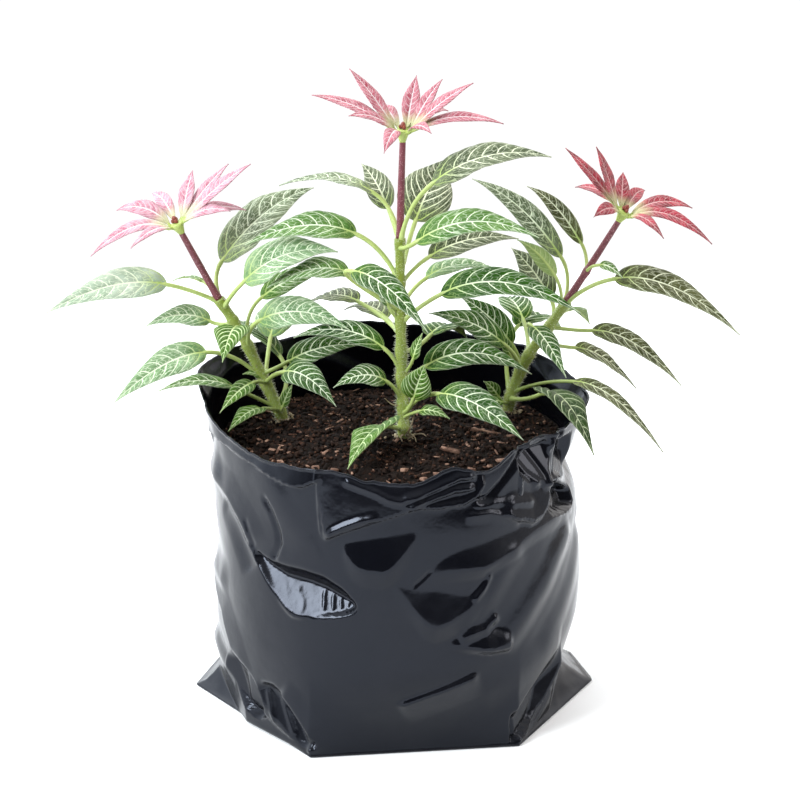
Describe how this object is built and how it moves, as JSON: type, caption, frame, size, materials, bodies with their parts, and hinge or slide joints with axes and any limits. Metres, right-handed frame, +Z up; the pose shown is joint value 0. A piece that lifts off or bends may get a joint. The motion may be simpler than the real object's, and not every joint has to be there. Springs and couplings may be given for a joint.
{
  "type": "potted nerve plant",
  "caption": "Nerve plant with white-veined leaves, red flower stalks and pink bract rosettes, standing in soil in a black polythene grow bag.",
  "frame": {"origin": "middle of the grow bag's flat bottom, on the surface it stands on", "axes": "+Z up; +Y from the viewer to the back, so the pictured front looks along -Y; +X from the left plant to the right plant"},
  "size_m": [0.3076, 0.1702, 0.2889],
  "materials": {
    "black_film": "glossy thin black polythene film, creased",
    "soil": "loose moist potting mix with bark chips, matte",
    "green_stem": "juicy green stem with fine white hairs",
    "red_stalk": "dark red stalk with pale specks",
    "leaf": "green leaf with a net of white veins, satin sheen",
    "young_leaf": "pale lime young leaf, satin",
    "left_bract": "pale pink bract with cream base and white veins",
    "centre_bract": "pink bract with cream base and white veins",
    "right_bract": "crimson bract with cream base and white veins",
    "bud": "dark red brown bud, matte"
  },
  "bodies": {
    "root": {"grow_bag": "black_film", "potting_soil": "soil", "left_stem": "green_stem", "left_stalk": "red_stalk", "left_bracts": "left_bract", "left_bud": "bud", "left_leaf_01": "leaf", "left_leaf_02": "leaf", "left_leaf_03": "leaf", "left_leaf_04": "leaf", "left_leaf_05": "leaf", "left_leaf_06": "leaf", "left_leaf_07": "leaf", "left_leaf_08": "leaf", "left_leaf_09": "leaf", "left_leaf_10": "leaf", "left_leaf_11": "leaf", "left_leaf_12": "leaf", "left_leaf_13": "leaf", "centre_stem": "green_stem", "centre_stalk": "red_stalk", "centre_bracts": "centre_bract", "centre_bud": "bud", "centre_leaf_01": "leaf", "centre_leaf_02": "leaf", "centre_leaf_03": "leaf", "centre_leaf_04": "leaf", "centre_leaf_05": "leaf", "centre_leaf_06": "leaf", "centre_leaf_07": "leaf", "centre_leaf_08": "leaf", "centre_leaf_09": "leaf", "centre_leaf_10": "leaf", "centre_leaf_11": "leaf", "centre_leaf_12": "leaf", "centre_leaf_13": "leaf", "centre_leaf_14": "leaf", "centre_leaf_15": "leaf", "centre_leaf_16": "leaf", "centre_leaf_17": "leaf", "centre_leaf_18": "leaf", "right_stem": "green_stem", "right_stalk": "red_stalk", "right_bracts": "right_bract", "right_bud": "bud", "right_leaf_01": "leaf", "right_leaf_02": "leaf", "right_leaf_03": "leaf", "right_leaf_04": "leaf", "right_leaf_05": "leaf", "right_leaf_06": "leaf", "right_leaf_07": "leaf", "right_leaf_08": "leaf", "right_leaf_09": "leaf", "right_leaf_10": "leaf", "right_leaf_11": "leaf", "right_leaf_12": "leaf", "right_leaf_13": "leaf", "right_stalk_leaf": "leaf", "right_young_leaf": "young_leaf"}
  },
  "joints": []
}
